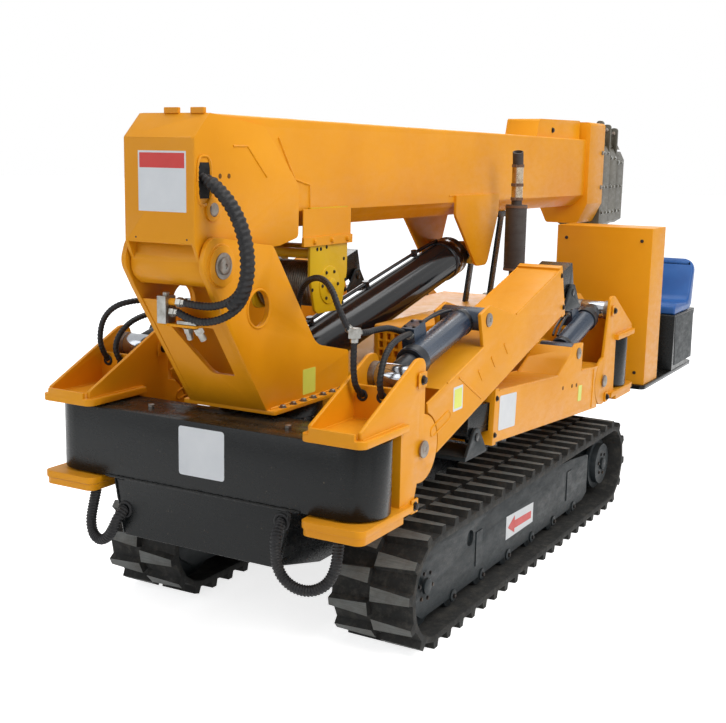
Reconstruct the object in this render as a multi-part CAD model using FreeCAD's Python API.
import FreeCAD, Part

import math
import os

# Spider crane on rubber tracks, with four folding outriggers and a boom of four sections.
# Millimetres. +X is the front (turret end), +Y the machine's left, +Z up.
# The origin is the centre of the whole machine's length and width, on the ground.

V = FreeCAD.Vector

# Where the outriggers swivel, from which most places along the machine follow
FRONT_SWIVEL_X = 1925.0
SWIVEL_RUN = 2625.0
REAR_SWIVEL_X = FRONT_SWIVEL_X - SWIVEL_RUN

# Tracks: two closed rubber belts with staggered lugs
TRACK_WIDTH = 320.0
TRACK_Y_IN = 350.0
TRACK_Y_OUT = TRACK_Y_IN + TRACK_WIDTH
TRACK_Y_MID = (TRACK_Y_OUT + TRACK_Y_IN) / 2
IDLER_X = FRONT_SWIVEL_X - 387.0
SPROCKET_X = REAR_SWIVEL_X + 251.0
BELT_THICK = 24.0
LUG_HEIGHT = 28.0
BELT_RADIUS = 195.0
BELT_FACETS = 20
LUG_COUNT = 48
LUG_LONG_INNER = 60.0
LUG_LONG_OUTER = 40.0
LUG_DRAFT = 7.0
LUG_ROW_GAP = 12.0
TRACK_Z = BELT_RADIUS + LUG_HEIGHT
BELT_INNER = BELT_RADIUS - BELT_THICK

# Track frames, wheels and rollers
SEAT_GAP = 0.3
SKIRT_THICK = 12.0
FRAME_HALF = 88.0
FRAME_TOP = TRACK_Z + BELT_INNER - 44.0
FRAME_BOTTOM = TRACK_Z - BELT_INNER + 43.0
ROLLER_RADIUS = 45.0
ROLLER_COUNT = 6
ROLLER_FIRST_X = IDLER_X - 258.0
ROLLER_PITCH = 269.0
ROLLER_FACETS = 16
ROLLER_SIDE_GAP = 4.0
CARRIER_RADIUS = 26.0
CARRIER_X = IDLER_X - 738.0
HUB_RADIUS = BELT_INNER - 44.0
HUB_PROUD = 52.0
HUB_FACETS = 32
SPROCKET_TEETH = 13
WINDOW_X = IDLER_X - 406.0
WINDOW_RADIUS = 32.0

# Main frame between the tracks
CHASSIS_TOP = TRACK_Z + 365.0
CHASSIS_BOTTOM = CHASSIS_TOP - 288.0
CHASSIS_EDGE = 40.0
CHASSIS_HALF_TOP = TRACK_Y_IN - 24.0
CHASSIS_HALF_BOTTOM = TRACK_Y_IN - 65.0
NOSE_BOTTOM = CHASSIS_TOP - 203.0
NOSE_LONG = 330.0
NOSE_THICK = 20.0
NOSE_HALF_TOP = TRACK_Y_IN + 20.0
NOSE_HALF_BOTTOM = TRACK_Y_IN - 25.0
TAIL_LONG = 200.0
CROSS_XS = (FRONT_SWIVEL_X - 745.0, REAR_SWIVEL_X + 740.0)
CROSS_WIDTH = 150.0
CROSS_LOW = TRACK_Z - 38.0
CROSS_HIGH = TRACK_Z + 102.0
EYE_DROP = 208.0
EYE_HOLE = 20.0
EYE_THICK = 16.0
EYE_Y = 275.0
EYE_BACK = 45.0
EYE_RISE = 60.0

# Cross beams that carry the outrigger brackets
BEAM_RADIUS = 115.0
BEAM_HEIGHT = 246.0
BEAM_TOP = CHASSIS_TOP + BEAM_HEIGHT
SWIVEL_PIN = 40.0
PIN_CLEAR = 0.05
RUN_CLEAR = 6.5

# Outrigger brackets
PLATE_THICK = 25.0
SOLE_INSET = 4.0
LIP_THICK = 12.0
LIP_UP = 22.0
BRACKET_HALF = 117.0
BRACKET_NOSE = 162.0
BRACKET_CORNER = 30.0
CHEEK_THICK = 14.0
CHEEK_OUT = 97.0
CHEEK_IN = CHEEK_OUT - CHEEK_THICK
CHEEK_UP = 72.0
WEB_A = 122.0
WEB_THICK = 20.0
WEB_DOWN = 14.0
HINGE_PIN = 30.0
HINGE_DISC = 118.0
SEAM = 6.0
CAP_RADIUS = 24.0
CAP_THICK = 6.0

# Outrigger arms and legs
ARM_HALF = CHEEK_OUT
ARM_DEPTH = 206.0
ARM_WALL = 8.0
TONGUE_LENGTH = 205.0
TONGUE_HALF = CHEEK_IN - 5.0
ARM_ROOT = 72.0
COLLAR_LONG = 34.0
COLLAR_PROUD = 10.0
EAR_UP = 84.0
EAR_RADIUS = 46.0
EAR_THICK = 14.0
EAR_LONG = 250.0
LEG_HALF = 72.0
LEG_DEPTH = 112.0
LEG_WALL = 10.0
LEG_SLIP = 3.0
LEG_OUT = 190.0
LEG_ROOT = 225.0
LEG_SHOE = 36.0
FOOT_OUT = 135.0
FOOT_DROP = 62.0
FOOT_HALF = 100.0
FOOT_BASE_DROP = 60.0
FOOT_THICK = 16.0
FOOT_EAR = 12.0
FOOT_GAP = 4.0
FOOT_PIN = 16.0

# Outrigger cylinders
RAM_RADIUS = 50.0
RAM_BORE = 34.0
RAM_ROD = 28.0
RAM_EYE = 44.0
RAM_LENGTH_SHARE = 0.80
VALVE_LONG = 90.0
VALVE_WIDE = 52.0
VALVE_HIGH = 44.0
VALVE_Y = 45.0

# One row for each end of the machine; the arms' lengths follow from the two swivels
END_COLUMNS = ("swivel_x", "swivel_y", "hinge_a", "hinge_z", "pin_a", "pin_z",
               "slope", "offset", "lug_s", "tip_s", "facing")
END_ROWS = {
    "front": (FRONT_SWIVEL_X, TRACK_Y_OUT - 120.0, 275.0, CHASSIS_TOP + 164.0, 252.0,
              CHASSIS_TOP + 406.0, 16.0, 33.0, 614.0, SWIVEL_RUN - 1221.0, -1),
    "rear": (REAR_SWIVEL_X, TRACK_Y_OUT - 147.0, 300.0, CHASSIS_TOP + 67.0, 200.0,
             CHASSIS_TOP + 406.0, 4.0, -22.0, 405.0, SWIVEL_RUN - 1255.0, 1),
}
ENDS = {name: dict(zip(END_COLUMNS, row)) for name, row in END_ROWS.items()}
SIDES = {"left": 1, "right": -1}

# Turret
SLEW_X = FRONT_SWIVEL_X - 324.0
RING_RADIUS = 190.0
RING_DEEP = 50.0
TURRET_BASE_Z = BEAM_TOP + 16.0
TURRET_BASE_THICK = 14.0
TURRET_BASE_HALF = 196.0
TURRET_BASE_FRONT = SLEW_X + 267.0
TURRET_BASE_REAR = SLEW_X - 291.0
TURRET_BAY = 165.0
TURRET_BAY_HALF = 108.0
TURRET_IN = 146.0
TURRET_PLATE = 18.0
TURRET_OUT = TURRET_IN + TURRET_PLATE
TURRET_LEAN = 0.6867
PIVOT_X = SLEW_X + 528.0
PIVOT_Z = TURRET_BASE_Z + 526.0
PIVOT_EAR = 95.0
PIVOT_PIN = 45.0
PIVOT_BOSS = 72.0
WINDOW_BACK = 209.0
WINDOW_DOWN = 157.0
WINDOW_HALF = 62.0
SLAB_DOWN = 124.0
SLAB_THICK = 24.0

# Luff cylinder, from the turret base to the lug under the boom
LUFF_BASE_X = SLEW_X - 41.0
LUFF_BASE_Z = TURRET_BASE_Z + 77.0
LUFF_RADIUS = 87.0
LUFF_BORE = 66.0
LUFF_ROD = 55.0
LUFF_EYE = 54.0
LUFF_BASE_HALF = 60.0
LUFF_PIN = 28.0

# Boom sections, each a hollow box with a folded lower half
BOOM_BOTTOM = PIVOT_Z + 94.0
BOOM_DEPTH = 375.0
BOOM_TOP = BOOM_BOTTOM + BOOM_DEPTH
BOOM_HALF = 126.0
BOOM_FOLD = 60.0
BOOM_WALL = 6.0
BOOM_STEP = 13.0
BOOM_TAIL_X = PIVOT_X + 96.0
BOOM_TAIL_LOW = BOOM_BOTTOM - 27.0
BOOM_TAIL_HIGH = BOOM_TOP - 76.0
BOOM_TAIL_CUT = 78.0
COVER_THICK = 12.0
DOUBLER = 12.0
BOX_LONG = 684.0
BOX_HALF = 90.0
BOX_UP = 105.0
SECTION_COUNT = 4
SECTION_TAIL_X = PIVOT_X - 209.0
TAIL_PITCH = 40.0
PAD_LONG = 80.0

# Bodywork
HOOD_FRONT_X = FRONT_SWIVEL_X - 795.0
HOOD_REAR_X = REAR_SWIVEL_X + 140.0
HOOD_HALF = TRACK_Y_IN - 20.0
HOOD_WALL = 5.0
HOOD_FRONT_Z = CHASSIS_TOP + 280.0
HOOD_BREAK_X = HOOD_FRONT_X - 570.0
HOOD_BREAK_Z = CHASSIS_TOP + 412.0
HOOD_REAR_Z = CHASSIS_TOP + 432.0
ENGINE_X = HOOD_REAR_X + 140.0
ENGINE_LONG = 600.0
ENGINE_HALF = HOOD_HALF - 130.0
ENGINE_HEIGHT = 350.0
SIDE_COVER_FRONT = HOOD_FRONT_X - 65.0
SIDE_COVER_LONG = 685.0
SIDE_COVER_Y = 130.0
SIDE_COVER_TOP = HOOD_REAR_Z + 46.0
GRILLE_COLUMNS = 5
GRILLE_ROWS = 3
GRILLE_SLOT = 8.0
GRILLE_DEEP = 30.0
EXHAUST_X = HOOD_BREAK_X - 607.0
EXHAUST_Y = HOOD_HALF - 62.0
MUFFLER_RADIUS = 50.0
MUFFLER_LONG = 308.0
REST_X = HOOD_REAR_X + 300.0
REST_HALF = 70.0
CONSOLE_X = REAR_SWIVEL_X - 312.0
CONSOLE_DEPTH = 255.0
CONSOLE_Y0 = 127.0
CONSOLE_Y1 = TRACK_Y_OUT - 15.0
FLOOR_Z = CHASSIS_TOP - 52.0
FLOOR_THICK = 22.0
CONSOLE_TOP = FLOOR_Z + 842.0
SEAT_BASE_X = CONSOLE_X - 536.0
SEAT_BASE_Y0 = 200.0
SEAT_BASE_Y1 = TRACK_Y_OUT - 6.0
SEAT_BASE_TOP = FLOOR_Z + 323.0
SEAT_BASE_FOOT_X = SEAT_BASE_X - 282.0
FLOOR_REAR_X = SEAT_BASE_X - 469.0
SHEET_WALL = 5.0
TANK_X0 = CONSOLE_X - 398.0
TANK_X1 = CONSOLE_X - 8.0
TANK_Y0 = 30.0 - TRACK_Y_OUT
TANK_Y1 = -130.0
TANK_TOP = FLOOR_Z + 364.0
RAIL_YS = (130.0, 198.0)
RAIL_WIDE = 58.0
RAIL_DEEP = 98.0
SWIVEL_ROOM = 95.0

# Boom's outer end, which stands just past the console, and the luff lug
BOOM_END_X = CONSOLE_X - CONSOLE_DEPTH - 147.0
COLLAR_HALF = 150.0
COLLAR_END_X = BOOM_END_X - 268.0
COLLAR_LOW = BOOM_BOTTOM - 103.0
COLLAR_HIGH = BOOM_TOP + 98.0
HEAD_START_X = COLLAR_END_X - 18.0
HEAD_PITCH = 180.0
HEAD_LONG = 156.0
LAST_HEAD_LONG = 165.0
HEAD_LOW = BOOM_BOTTOM - 140.0
HEAD_STEP = 6.0
HEAD_SIDE = 20.0
FIN_THICK = 24.0
LUFF_LUG_X = HOOD_REAR_X + 593.0
LUFF_LUG_Z = BOOM_BOTTOM - 184.0
HOOK_X = HEAD_START_X - (SECTION_COUNT - 2) * HEAD_PITCH - 90.0
HOOK_Z = HEAD_LOW - 26.0
HOOK_PIN = 10.0
HOOK_DROP = 296.0
HOOK_HALF = 44.0

# Winch under the boom foot
WINCH_X = PIVOT_X - 699.0
WINCH_Z = BOOM_BOTTOM - 215.0
WINCH_PLATE = 12.0
DRUM_RADIUS = 78.0
DRUM_FLANGE = 100.0
DRUM_BORE = 26.0

# Hoses
HOSE_RADIUS = 10.5
BOOM_HOSE_RADIUS = 12.0
CONDUIT_RADIUS = 18.0
TEE_X0 = 1830.0
TEE_LONG = 30.0
TEE_Y0 = 474.0
TEE_TOP = TURRET_BASE_Z + 324.0
TEE_HIGH = 34.0


def outline(corners, place):
    """A closed wire through corners (a, b) or (a, b, radius)."""
    count = len(corners)
    spots = []
    for i in range(count):
        a, b = corners[i][:2]
        radius = corners[i][2] if len(corners[i]) > 2 else 0.0
        if radius <= 0:
            spots.append(((a, b), None, (a, b)))
            continue
        pa, pb = corners[i - 1][:2]
        na, nb = corners[(i + 1) % count][:2]
        la = math.hypot(pa - a, pb - b)
        lb = math.hypot(na - a, nb - b)
        u = ((pa - a) / la, (pb - b) / la)
        w = ((na - a) / lb, (nb - b) / lb)
        half = math.acos(max(-1.0, min(1.0, u[0] * w[0] + u[1] * w[1]))) / 2
        run = radius / math.tan(half)
        ba, bb = u[0] + w[0], u[1] + w[1]
        bl = math.hypot(ba, bb)
        reach = radius / math.sin(half) - radius
        spots.append(((a + u[0] * run, b + u[1] * run),
                      (a + ba / bl * reach, b + bb / bl * reach),
                      (a + w[0] * run, b + w[1] * run)))
    edges = []
    for i in range(count):
        first, middle, last = spots[i]
        if middle:
            edges.append(Part.Arc(place(*first), place(*middle), place(*last)).toShape())
        following = spots[(i + 1) % count][0]
        if math.hypot(following[0] - last[0], following[1] - last[1]) > 1e-6:
            edges.append(Part.LineSegment(place(*last), place(*following)).toShape())
    return Part.Wire(edges)


def plate_xz(corners, y0, y1):
    wire = outline(corners, lambda a, b: V(a, y0, b))
    return Part.Face(wire).extrude(V(0, y1 - y0, 0))


def plate_xy(corners, z0, z1):
    wire = outline(corners, lambda a, b: V(a, b, z0))
    return Part.Face(wire).extrude(V(0, 0, z1 - z0))


def plate_yz(corners, x0, x1):
    wire = outline(corners, lambda a, b: V(x0, a, b))
    return Part.Face(wire).extrude(V(x1 - x0, 0, 0))


def block(x0, x1, y0, y1, z0, z1):
    return Part.makeBox(x1 - x0, y1 - y0, z1 - z0, V(x0, y0, z0))


def rod_y(x, z, radius, y0, y1):
    return Part.makeCylinder(radius, y1 - y0, V(x, y0, z), V(0, 1, 0))


def rod_z(x, y, radius, z0, z1):
    return Part.makeCylinder(radius, z1 - z0, V(x, y, z0), V(0, 0, 1))


def rod_x(y, z, radius, x0, x1):
    return Part.makeCylinder(radius, x1 - x0, V(x0, y, z), V(1, 0, 0))


def prism_y(x, z, radius, facets, y0, y1):
    """A small wheel drawn as a regular prism round an axis along Y."""
    points = []
    for k in range(facets):
        angle = 2 * math.pi * k / facets
        points.append((x + radius * math.cos(angle), z + radius * math.sin(angle)))
    return plate_xz(points, y0, y1)


def join(shapes):
    return shapes[0].multiFuse(shapes[1:]).removeSplitter()


def span_y(side, near, far):
    """Low and high Y of a plate whose faces are near and far from the middle."""
    return (near, far) if side > 0 else (-far, -near)


def mirror_y(shape):
    return shape.mirror(V(0, 0, 0), V(0, 1, 0))


def mirror_x(shape):
    return shape.mirror(V(0, 0, 0), V(1, 0, 0))


# Tracks

def belt_point(s, height):
    """A point on the belt loop, s along its outer face, height above that face."""
    run = IDLER_X - SPROCKET_X
    arc = math.pi * BELT_RADIUS
    radius = BELT_RADIUS + height
    s = s % (2 * (run + arc))
    if s < run:
        return SPROCKET_X + s, TRACK_Z + radius
    if s < run + arc:
        angle = (s - run) / BELT_RADIUS
        return IDLER_X + radius * math.sin(angle), TRACK_Z + radius * math.cos(angle)
    if s < 2 * run + arc:
        return IDLER_X - (s - run - arc), TRACK_Z - radius
    angle = (s - 2 * run - arc) / BELT_RADIUS
    return SPROCKET_X - radius * math.sin(angle), TRACK_Z - radius * math.cos(angle)


def lug_points(y, lug_long, shift):
    loop = 2 * (IDLER_X - SPROCKET_X) + 2 * math.pi * BELT_RADIUS
    pitch = loop / LUG_COUNT
    points = []
    for k in range(LUG_COUNT):
        middle = (k + 0.5 + shift) * pitch
        half = lug_long / 2
        for s, height in ((middle - half, 0.0), (middle - half + LUG_DRAFT, LUG_HEIGHT),
                          (middle + half - LUG_DRAFT, LUG_HEIGHT), (middle + half, 0.0)):
            x, z = belt_point(s, height)
            points.append(V(x, y, z))
    return points


def flat_face(points):
    return Part.Face(Part.makePolygon(points + [points[0]]))


def lug_row(near, far, shift):
    """One row of lugs that narrow towards the belt's edge, in flat faces."""
    inner = lug_points(near, LUG_LONG_INNER, shift)
    outer = lug_points(far, LUG_LONG_OUTER, shift)
    faces = [flat_face(inner), flat_face(outer)]
    for i in range(len(inner)):
        faces.append(flat_face([inner[i - 1], inner[i], outer[i]]))
        faces.append(flat_face([inner[i - 1], outer[i], outer[i - 1]]))
    return Part.Solid(Part.Shell(faces))


def stadium_xz(apothem, y0, y1):
    """The belt loop's inside or middle: straight runs with ends in flat facets."""
    step = math.pi / BELT_FACETS
    radius = apothem / math.cos(step)
    points = []
    for middle, first in ((IDLER_X, -math.pi / 2), (SPROCKET_X, math.pi / 2)):
        for k in range(BELT_FACETS // 2):
            angle = first + (2 * k + 1) * step
            points.append((middle + radius * math.cos(angle), TRACK_Z + radius * math.sin(angle)))
    return plate_xz(points, y0, y1)


def track():
    """Left track: two rows of lugs, half a pitch apart, on one belt."""
    mid = LUG_ROW_GAP / 2
    rows = [lug_row(TRACK_Y_MID - mid, TRACK_Y_IN, 0.0), lug_row(TRACK_Y_MID + mid, TRACK_Y_OUT, 0.5)]
    centre = stadium_xz(BELT_RADIUS - 2.0, TRACK_Y_MID - mid, TRACK_Y_MID + mid)
    hollow = stadium_xz(BELT_INNER, TRACK_Y_IN - 1.0, TRACK_Y_OUT + 1.0)
    rings = [shape.cut(hollow) for shape in rows + [centre]]
    return join(rings)


# Track frames and wheels

FRAME_Y0 = TRACK_Y_MID - FRAME_HALF
FRAME_Y1 = TRACK_Y_MID + FRAME_HALF
FORK_X = IDLER_X - BELT_INNER - 20.0
ROLLER_Z = TRACK_Z - BELT_INNER + SEAT_GAP + ROLLER_RADIUS
BOX_LOW = ROLLER_Z + ROLLER_RADIUS + ROLLER_SIDE_GAP
SPROCKET_ROOM = 18.0


def frame_skirt(y0, y1):
    front = IDLER_X + 95.0
    rear = SPROCKET_X + BELT_INNER + SPROCKET_ROOM
    corners = [(rear, FRAME_BOTTOM + 25, 10), (rear + 60, FRAME_BOTTOM, 10),
               (IDLER_X, FRAME_BOTTOM, 30), (front, FRAME_BOTTOM + 60, 30),
               (front, FRAME_TOP - 60, 30), (IDLER_X, FRAME_TOP, 30),
               (CARRIER_X + 90, FRAME_TOP, 0), (CARRIER_X + 30, FRAME_TOP + 28, 0),
               (CARRIER_X - 60, FRAME_TOP + 26, 0), (rear + 250, FRAME_TOP - 12, 0),
               (rear, FRAME_TOP - 40, 15)]
    return plate_xz(corners, y0, y1)


def rollers():
    """Bottom rollers and one carrier roller, on axles between the skirts."""
    made = []
    for k in range(ROLLER_COUNT):
        x = ROLLER_FIRST_X - k * ROLLER_PITCH
        made.append(prism_y(x, ROLLER_Z, ROLLER_RADIUS, ROLLER_FACETS,
                            FRAME_Y0 + ROLLER_SIDE_GAP, FRAME_Y1 - ROLLER_SIDE_GAP))
        made.append(prism_y(x, ROLLER_Z, 16.0, 6, FRAME_Y0 - 1, FRAME_Y1 + 1))
    top = TRACK_Z + BELT_INNER - SEAT_GAP - CARRIER_RADIUS
    made.append(prism_y(CARRIER_X, top, CARRIER_RADIUS, ROLLER_FACETS, FRAME_Y0 - 1, FRAME_Y1 + 1))
    return made


def track_frame():
    """Box beam, rollers, and two skirts that fork round the idler."""
    rear = SPROCKET_X + BELT_INNER + SPROCKET_ROOM
    beam = block(rear, FORK_X, FRAME_Y0, FRAME_Y1, BOX_LOW, FRAME_TOP - 45)
    skirts = [frame_skirt(FRAME_Y0 - SKIRT_THICK, FRAME_Y0),
              frame_skirt(FRAME_Y1, FRAME_Y1 + SKIRT_THICK)]
    reach = BELT_INNER - 61.0
    motor_plate = plate_xz([(rear + 40, BOX_LOW, 0), (rear + 40, FRAME_TOP - 60, 0),
                            (SPROCKET_X, TRACK_Z + reach, 60), (SPROCKET_X - 90, TRACK_Z, 60),
                            (SPROCKET_X, TRACK_Z - reach, 60)],
                           FRAME_Y0 - SKIRT_THICK, FRAME_Y0)
    shape = join([beam, motor_plate] + skirts + rollers())
    window = prism_y(WINDOW_X, FRAME_TOP - 69.0, WINDOW_RADIUS, ROLLER_FACETS,
                     FRAME_Y1 - 1, FRAME_Y1 + SKIRT_THICK + 1)
    return shape.cut(window)





def idler():
    """Front idler with a groove round its middle, on an axle in the skirts' fork."""
    gap = ROLLER_SIDE_GAP
    radius, groove = BELT_INNER - SEAT_GAP, 23.0
    spans = ((FRAME_Y0 + 2 * gap, TRACK_Y_MID - groove), (TRACK_Y_MID + groove, FRAME_Y1 - 2 * gap))
    rims = [prism_y(IDLER_X, TRACK_Z, radius, BELT_FACETS, y0, y1) for y0, y1 in spans]
    core = prism_y(IDLER_X, TRACK_Z, radius - 28, BELT_FACETS, FRAME_Y0 + 2 * gap, FRAME_Y1 - 2 * gap)
    boss = prism_y(IDLER_X, TRACK_Z, 52.0, ROLLER_FACETS, FRAME_Y0, FRAME_Y1)
    return join(rims + [core, boss])


def sprocket():
    """Toothed drive wheel with the motor's hub disc proud of the track frame."""
    tip = BELT_INNER - SEAT_GAP
    points = []
    for k in range(SPROCKET_TEETH):
        turn = 2 * math.pi / SPROCKET_TEETH
        for share, radius in ((-0.30, tip - 24), (-0.16, tip), (0.16, tip), (0.30, tip - 24)):
            angle = (k + share) * turn
            points.append((SPROCKET_X + radius * math.cos(angle),
                           TRACK_Z + radius * math.sin(angle)))
    middle = TRACK_Y_MID
    disc = plate_xz(points, middle - 20, middle + 20)
    drum = prism_y(SPROCKET_X, TRACK_Z, HUB_RADIUS - 8, HUB_FACETS, FRAME_Y0, middle + 60)
    hub = [prism_y(SPROCKET_X, TRACK_Z, HUB_RADIUS, HUB_FACETS, middle + 60, middle + 84),
           prism_y(SPROCKET_X, TRACK_Z, HUB_RADIUS - 26, HUB_FACETS, middle + 84, middle + 60 + HUB_PROUD)]
    return join([disc, drum] + hub)


# Main frame, cross beams and slew ring

def nose_plate(front):
    """Tapered plate across the frame's front end."""
    return plate_yz([(-NOSE_HALF_TOP, CHASSIS_TOP - 4.0), (-NOSE_HALF_BOTTOM, NOSE_BOTTOM),
                     (NOSE_HALF_BOTTOM, NOSE_BOTTOM), (NOSE_HALF_TOP, CHASSIS_TOP - 4.0)],
                    front - NOSE_THICK, front)


def main_frame():
    """Belly box between the tracks, let in over the two cross tubes that carry the track frames."""
    front = FRONT_SWIVEL_X + BEAM_RADIUS
    rear = REAR_SWIVEL_X - BEAM_RADIUS
    section = [(-CHASSIS_HALF_TOP, CHASSIS_TOP), (-CHASSIS_HALF_TOP, CHASSIS_TOP - CHASSIS_EDGE),
               (-CHASSIS_HALF_BOTTOM, CHASSIS_BOTTOM), (CHASSIS_HALF_BOTTOM, CHASSIS_BOTTOM),
               (CHASSIS_HALF_TOP, CHASSIS_TOP - CHASSIS_EDGE), (CHASSIS_HALF_TOP, CHASSIS_TOP)]
    body = plate_yz(section, rear, front)
    profile = [(rear, CHASSIS_TOP), (rear, NOSE_BOTTOM + 30), (rear + TAIL_LONG, CHASSIS_BOTTOM),
               (front - NOSE_LONG, CHASSIS_BOTTOM), (front, NOSE_BOTTOM), (front, CHASSIS_TOP)]
    body = body.common(plate_xz(profile, -CHASSIS_HALF_TOP - 1, CHASSIS_HALF_TOP + 1))
    reach = FRAME_Y0 - SKIRT_THICK
    shape = join([body, nose_plate(front)] + [lashing_eye(rear, side) for side in (1, -1)])
    tubes = []
    for x in CROSS_XS:
        x0, x1 = x - CROSS_WIDTH / 2, x + CROSS_WIDTH / 2
        tubes.append(block(x0, x1, -reach, reach, CROSS_LOW, CROSS_HIGH))
        shape = shape.cut(block(x0 - SEAT_GAP, x1 + SEAT_GAP, -reach, reach, CROSS_LOW, CROSS_HIGH + SEAT_GAP))
    for side in (1, -1):
        y0, y1 = span_y(side, EYE_Y - 1, EYE_Y + EYE_THICK + 1)
        shape = shape.cut(rod_y(rear - EYE_BACK, CHASSIS_TOP - EYE_DROP + EYE_RISE, EYE_HOLE, y0, y1))
    return Part.makeCompound([shape] + tubes)


def lashing_eye(rear, side):
    """Plate with a hole on the frame's rear face, for tying the machine down."""
    y0, y1 = span_y(side, EYE_Y, EYE_Y + EYE_THICK)
    z = CHASSIS_TOP - EYE_DROP
    return plate_xz([(rear + 60, z + 110), (rear - 30, z + 110, 20), (rear - 88, z + 90, 30),
                     (rear - 88, z + 30, 30), (rear - 30, z + 10, 20), (rear + 60, z + 30)], y0, y1)


def cross_beam(end):
    """Rounded box beam with a bore at each end for the bracket's swivel pin."""
    spec = ENDS[end]
    x, y = spec["swivel_x"], spec["swivel_y"]
    bar = block(x - BEAM_RADIUS, x + BEAM_RADIUS, -y, y, CHASSIS_TOP, BEAM_TOP)
    ends = [rod_z(x, side * y, BEAM_RADIUS, CHASSIS_TOP, BEAM_TOP) for side in (1, -1)]
    bores = [rod_z(x, side * y, SWIVEL_PIN + PIN_CLEAR, CHASSIS_TOP - 1, BEAM_TOP + 1)
             for side in (1, -1)]
    shape = join([bar] + ends)
    for bore in bores:
        shape = shape.cut(bore)
    return shape


def slew_ring():
    low = TURRET_BASE_Z - RING_DEEP
    column = rod_z(SLEW_X, 0, RING_RADIUS - 25, CHASSIS_TOP, low)
    ring = rod_z(SLEW_X, 0, RING_RADIUS, low, TURRET_BASE_Z - SEAT_GAP)
    return join([column, ring])


# Outrigger corner pieces, drawn at a corner whose arm points along +X from the
# swivel axis at the origin, with +Y outwards

def corner_place(shape, end, side):
    spec = ENDS[end]
    if spec["facing"] < 0:
        shape = mirror_x(shape)
    shape = shape.copy()
    shape.translate(V(spec["swivel_x"], spec["swivel_y"], 0))
    return shape if SIDES[side] > 0 else mirror_y(shape)


def arm_point(spec, s, t):
    """Place of a point s along and t above the arm's line from its hinge."""
    angle = math.radians(spec["slope"])
    return (spec["hinge_a"] + s * math.cos(angle) - t * math.sin(angle),
            spec["hinge_z"] + s * math.sin(angle) + t * math.cos(angle))


def tilt_arm(shape, spec):
    """Turns a piece drawn level along +X from the hinge to the arm's slope."""
    shape = shape.copy()
    shape.rotate(V(0, 0, 0), V(0, 1, 0), -spec["slope"])
    shape.translate(V(spec["hinge_a"], 0, spec["hinge_z"]))
    return shape


PLATE_LOW_TOP = CHASSIS_TOP - RUN_CLEAR
PLATE_HIGH_LOW = BEAM_TOP + RUN_CLEAR
PLATE_HIGH_TOP = PLATE_HIGH_LOW + PLATE_THICK


def cheek_corners(spec):
    """Side outline of a cheek: it rises to the ram pin and drops to the arm hinge."""
    ha, hz, pa = spec["hinge_a"], spec["hinge_z"], spec["pin_a"]
    low = PLATE_LOW_TOP - PLATE_THICK
    top = spec["pin_z"] + CHEEK_UP
    return [(WEB_A, low), (WEB_A, PLATE_HIGH_LOW), (-BRACKET_NOSE + 20, PLATE_HIGH_LOW),
            (-BRACKET_NOSE + 20, PLATE_HIGH_TOP + 24, 6), (pa - 25, top, 50),
            (pa + 38, top, 36), (max(pa + 38, ha + 15), hz + HINGE_DISC * 0.7),
            (ha, hz), (ha - 20, hz - HINGE_DISC * 0.75), (ha - 60, low)]


def bracket(end):
    """Swivelling bracket: two cheeks between a top plate and a folded bottom plate."""
    spec = ENDS[end]
    ha, hz = spec["hinge_a"], spec["hinge_z"]
    low = PLATE_LOW_TOP - PLATE_THICK
    nose, half = -BRACKET_NOSE, BRACKET_HALF
    inner, sole_half = nose + SOLE_INSET, half - SOLE_INSET
    top = plate_xy([(nose, -half, BRACKET_CORNER), (nose, half, BRACKET_CORNER),
                    (WEB_A + WEB_THICK, half), (WEB_A + WEB_THICK, -half)],
                   PLATE_HIGH_LOW, PLATE_HIGH_TOP)
    lip = block(nose, nose + LIP_THICK, -CHEEK_IN, CHEEK_IN, PLATE_HIGH_LOW, PLATE_HIGH_TOP + LIP_UP)
    bottom = plate_xy([(nose, -half, BRACKET_CORNER), (nose, half, BRACKET_CORNER),
                       (ha - 90, half), (ha - 90, -half)], low, PLATE_LOW_TOP)
    sole = plate_xy([(inner, -sole_half, BRACKET_CORNER), (inner, sole_half, BRACKET_CORNER),
                     (WEB_A, sole_half), (WEB_A, -sole_half)], low - PLATE_THICK, low)
    web = block(WEB_A, WEB_A + WEB_THICK, -CHEEK_OUT, CHEEK_OUT, low, spec["pin_z"] - WEB_DOWN)
    pieces = [top, lip, bottom, sole, web, rod_z(0, 0, SWIVEL_PIN, low, PLATE_HIGH_TOP)]
    for side in (1, -1):
        y0, y1 = span_y(side, CHEEK_IN, CHEEK_OUT)
        pieces.append(plate_xz(cheek_corners(spec), y0, y1))
        pieces.append(rod_y(ha, hz, HINGE_DISC, y0, y1))
        for a, z in ((ha, hz), (spec["pin_a"], spec["pin_z"])):
            c0, c1 = span_y(side, CHEEK_OUT, CHEEK_OUT + CAP_THICK)
            pieces.append(prism_y(a, z, CAP_RADIUS, ROLLER_FACETS, c0, c1))
    pieces.append(rod_y(ha, hz, HINGE_PIN, -CHEEK_OUT, CHEEK_OUT))
    return join(pieces)


def arm_levels(spec):
    """Bottom and top of the arm's box, measured from its hinge line."""
    return spec["offset"] - ARM_DEPTH / 2, spec["offset"] + ARM_DEPTH / 2


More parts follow.
